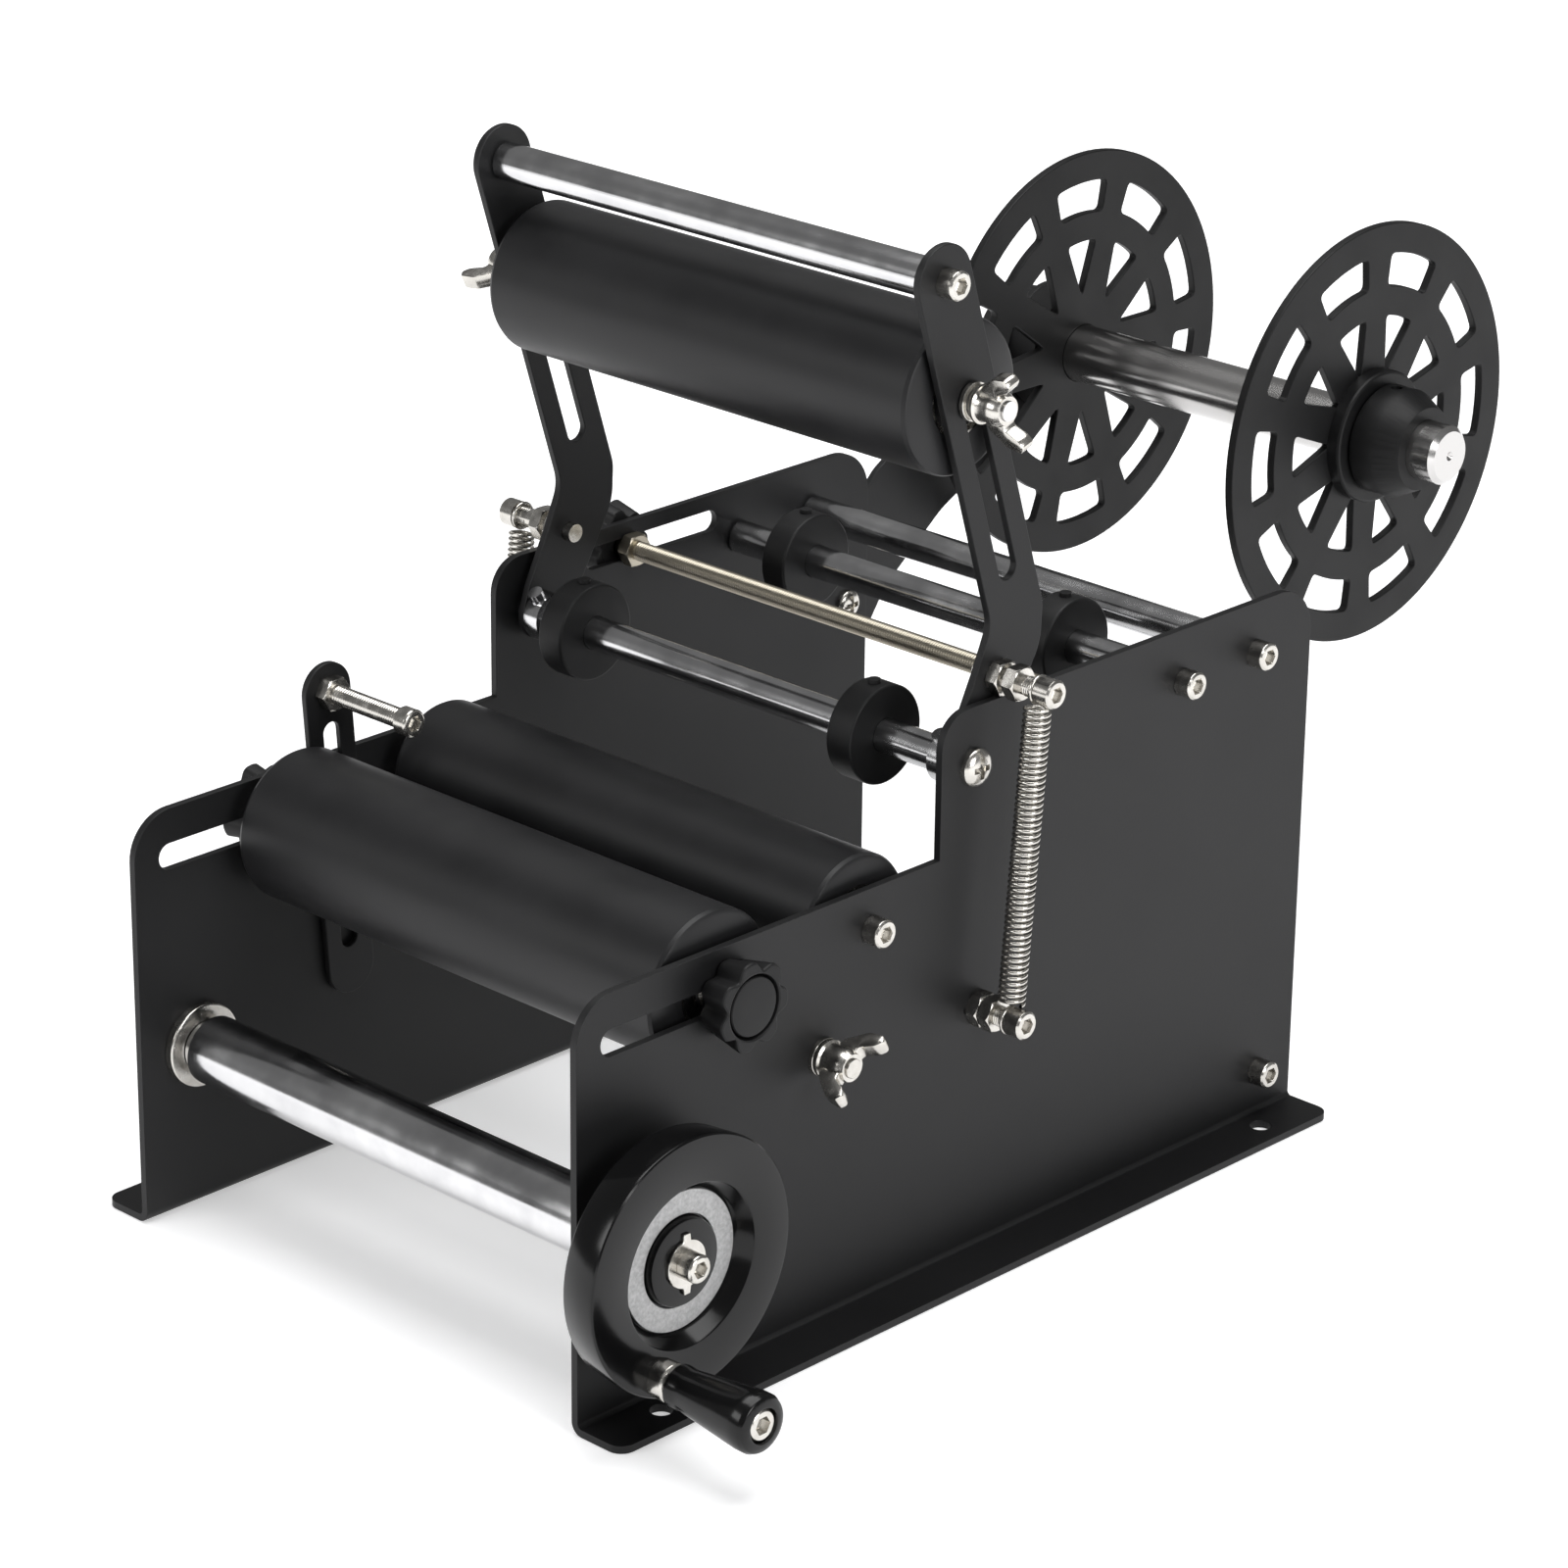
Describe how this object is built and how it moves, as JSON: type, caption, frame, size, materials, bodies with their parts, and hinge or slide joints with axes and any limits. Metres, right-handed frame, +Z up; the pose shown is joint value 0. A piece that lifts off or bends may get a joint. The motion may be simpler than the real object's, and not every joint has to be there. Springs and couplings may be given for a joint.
{
  "type": "manual round bottle labelling machine",
  "caption": "Hand-cranked bench machine with rollers, a sprung press arm and a label reel that wraps labels onto round bottles.",
  "frame": {"origin": "middle of the four bench holes, on the bench plane under the flanges", "axes": "+X across the machine from the left plate to the handwheel side, +Y from the bottle end back to the label reel, +Z up"},
  "size_m": [0.28, 0.5059, 0.3248],
  "materials": {
    "black_coated_steel": "matte fine-textured powder coat",
    "black_rubber": "matte ground rubber",
    "chrome_steel": "chrome plate, lightly speckled",
    "nickel_steel": "bright nickel-plated fasteners",
    "black_bakelite": "semi-gloss moulded phenolic",
    "grey_zinc": "dull cast zinc",
    "turned_steel": "turned and ground steel",
    "yellow_zinc_steel": "yellowed zinc-plated thread",
    "black_nylon": "satin machined nylon",
    "black_knob_plastic": "satin moulded plastic",
    "spring_steel": "nickel-plated spring wire"
  },
  "bodies": {
    "frame": {"side_plate_left": "black_coated_steel", "side_plate_right": "black_coated_steel", "low_tie_bar": "chrome_steel", "guide_rod_front": "chrome_steel", "guide_rod_rear": "chrome_steel", "pivot_shaft": "chrome_steel", "rod_screws": "nickel_steel", "pivot_screws": "nickel_steel", "take_up_bearing_left": "grey_zinc", "take_up_bearing_right": "grey_zinc", "reel_bracket": "black_coated_steel", "reel_bracket_screws": "nickel_steel", "reel_shaft": "turned_steel", "lower_spring_studs": "nickel_steel", "rear_roller_axle": "chrome_steel", "arm_lock_rings": "chrome_steel", "bottle_stop_bolt": "nickel_steel", "side_bolt_right": "nickel_steel"},
    "press_arm": {"press_arm_left": "black_coated_steel", "press_arm_right": "black_coated_steel", "crossbar": "chrome_steel", "crossbar_screws": "nickel_steel", "upper_spring_studs": "nickel_steel"},
    "springs": {"spring_left": "spring_steel", "spring_right": "spring_steel"},
    "press_carriage": {"press_axle": "chrome_steel", "press_washers": "nickel_steel"},
    "press_roller": {"press_roller": "black_rubber", "press_roller_bearings": "nickel_steel"},
    "press_wing_nut_left": {"press_wing_nut_left": "nickel_steel"},
    "press_wing_nut_right": {"press_wing_nut_right": "nickel_steel"},
    "front_carriage": {"front_roller_axle": "chrome_steel"},
    "front_roller": {"front_roller": "black_rubber", "front_roller_bearings": "nickel_steel"},
    "front_knob_left": {"front_knob_left": "black_knob_plastic"},
    "front_knob_right": {"front_knob_right": "black_knob_plastic"},
    "rear_roller": {"rear_roller": "black_rubber", "rear_roller_bearings": "nickel_steel"},
    "take_up": {"take_up_shaft": "chrome_steel", "handwheel": "black_bakelite", "handwheel_ring": "grey_zinc", "handwheel_screw": "nickel_steel", "crank_bolt": "nickel_steel"},
    "crank_grip": {"crank_grip": "black_bakelite"},
    "reel_disc_left": {"reel_disc_left": "black_nylon"},
    "reel_collar": {"reel_collar": "black_nylon"},
    "reel_disc_right": {"reel_disc_right": "black_nylon"},
    "guide_collar_pivot_left": {"guide_collar_pivot_left": "black_nylon"},
    "guide_collar_pivot_right": {"guide_collar_pivot_right": "black_nylon"},
    "guide_collar_rear_left": {"guide_collar_rear_left": "black_nylon"},
    "guide_collar_rear_right": {"guide_collar_rear_right": "black_nylon"},
    "bottle_stop": {"bottle_stop_arm": "black_coated_steel", "bottle_stop_nut": "nickel_steel"},
    "bottle_stop_screw": {"bottle_stop_screw": "nickel_steel"},
    "bottle_wing_nut_left": {"bottle_wing_nut_left": "nickel_steel"},
    "side_wing_nut_right": {"side_wing_nut_right": "nickel_steel"},
    "threaded_bar": {"threaded_bar": "yellow_zinc_steel"},
    "bar_knob": {"bar_knob": "black_knob_plastic"}
  },
  "joints": [
    {"name": "press_arm_hinge", "type": "hinge", "parent": "frame", "child": "press_arm", "pos_m": [0, 0.00275, 0.162], "axis": [1, 0, 0], "range_deg": [0, 75]},
    {"name": "springs_swing", "type": "hinge", "parent": "frame", "child": "springs", "pos_m": [0, 0.00675, 0.0825], "axis": [1, 0, 0], "range_deg": [-1, 20], "deforming": ["spring_left", "spring_right"]},
    {"name": "press_axle_slide", "type": "slide", "parent": "press_arm", "child": "press_carriage", "axis": [0, 0.3048, -0.9524], "range_m": [0, 0.058]},
    {"name": "press_roller_spin", "type": "hinge", "parent": "press_carriage", "child": "press_roller", "pos_m": [0, 0.00141, 0.2755], "axis": [1, 0, 0], "continuous": true},
    {"name": "press_wing_left_turn", "type": "hinge", "parent": "press_carriage", "child": "press_wing_nut_left", "pos_m": [0, 0.00141, 0.2755], "axis": [1, 0, 0], "range_deg": [0, 180]},
    {"name": "press_wing_right_turn", "type": "hinge", "parent": "press_carriage", "child": "press_wing_nut_right", "pos_m": [0, 0.00141, 0.2755], "axis": [1, 0, 0], "range_deg": [0, 180]},
    {"name": "front_axle_slide", "type": "slide", "parent": "frame", "child": "front_carriage", "axis": [0, 1, 0], "range_m": [-0.046, 0.003]},
    {"name": "front_roller_spin", "type": "hinge", "parent": "front_carriage", "child": "front_roller", "pos_m": [0, -0.10175, 0.12], "axis": [1, 0, 0], "continuous": true},
    {"name": "front_knob_left_turn", "type": "hinge", "parent": "front_carriage", "child": "front_knob_left", "pos_m": [0, -0.10175, 0.12], "axis": [1, 0, 0], "range_deg": [0, 180]},
    {"name": "front_knob_right_turn", "type": "hinge", "parent": "front_carriage", "child": "front_knob_right", "pos_m": [0, -0.10175, 0.12], "axis": [1, 0, 0], "range_deg": [0, 180]},
    {"name": "rear_roller_spin", "type": "hinge", "parent": "frame", "child": "rear_roller", "pos_m": [0, -0.04075, 0.1224], "axis": [1, 0, 0], "continuous": true},
    {"name": "take_up_spin", "type": "hinge", "parent": "frame", "child": "take_up", "pos_m": [0, -0.13875, 0.0548], "axis": [1, 0, 0], "continuous": true},
    {"name": "crank_grip_spin", "type": "hinge", "parent": "take_up", "child": "crank_grip", "pos_m": [0.145, -0.15125, 0.024], "axis": [1, 0, 0], "continuous": true},
    {"name": "reel_disc_left_spin", "type": "hinge", "parent": "frame", "child": "reel_disc_left", "pos_m": [-0.0885, 0.25575, 0.1964], "axis": [1, 0, 0], "continuous": true},
    {"name": "reel_collar_slide", "type": "slide", "parent": "frame", "child": "reel_collar", "axis": [1, 0, 0], "range_m": [-0.12, 0.01]},
    {"name": "reel_disc_right_spin", "type": "hinge", "parent": "reel_collar", "child": "reel_disc_right", "pos_m": [0.0427, 0.25575, 0.1964], "axis": [1, 0, 0], "continuous": true},
    {"name": "collar_pivot_left_slide", "type": "slide", "parent": "frame", "child": "guide_collar_pivot_left", "axis": [1, 0, 0], "range_m": [-0.0085, 0.06]},
    {"name": "collar_pivot_right_slide", "type": "slide", "parent": "frame", "child": "guide_collar_pivot_right", "axis": [1, 0, 0], "range_m": [-0.047, 0.023]},
    {"name": "collar_rear_left_slide", "type": "slide", "parent": "frame", "child": "guide_collar_rear_left", "axis": [1, 0, 0], "range_m": [-0.018, 0.055]},
    {"name": "collar_rear_right_slide", "type": "slide", "parent": "frame", "child": "guide_collar_rear_right", "axis": [1, 0, 0], "range_m": [-0.039, 0.031]},
    {"name": "bottle_stop_slide", "type": "slide", "parent": "frame", "child": "bottle_stop", "axis": [0, 0.0785, -0.9969], "range_m": [0, 0.01]},
    {"name": "bottle_stop_screw_slide", "type": "slide", "parent": "bottle_stop", "child": "bottle_stop_screw", "axis": [1, 0, 0], "range_m": [-0.025, 0.005]},
    {"name": "bottle_wing_left_turn", "type": "hinge", "parent": "frame", "child": "bottle_wing_nut_left", "pos_m": [-0.103, -0.07937, 0.08802], "axis": [1, 0, 0], "range_deg": [0, 180]},
    {"name": "side_wing_right_turn", "type": "hinge", "parent": "frame", "child": "side_wing_nut_right", "pos_m": [0.104, -0.06125, 0.088], "axis": [1, 0, 0], "range_deg": [0, 180]},
    {"name": "threaded_bar_slide", "type": "slide", "parent": "frame", "child": "threaded_bar", "axis": [0, 1, 0], "range_m": [-0.0125, 0.0265]},
    {"name": "bar_knob_turn", "type": "hinge", "parent": "threaded_bar", "child": "bar_knob", "pos_m": [-0.103, 0.04775, 0.172], "axis": [1, 0, 0], "range_deg": [0, 180]}
  ],
  "couplings": [
    {"joint": "springs_swing", "follows": "press_arm_hinge", "ratio": 0.2515}
  ]
}
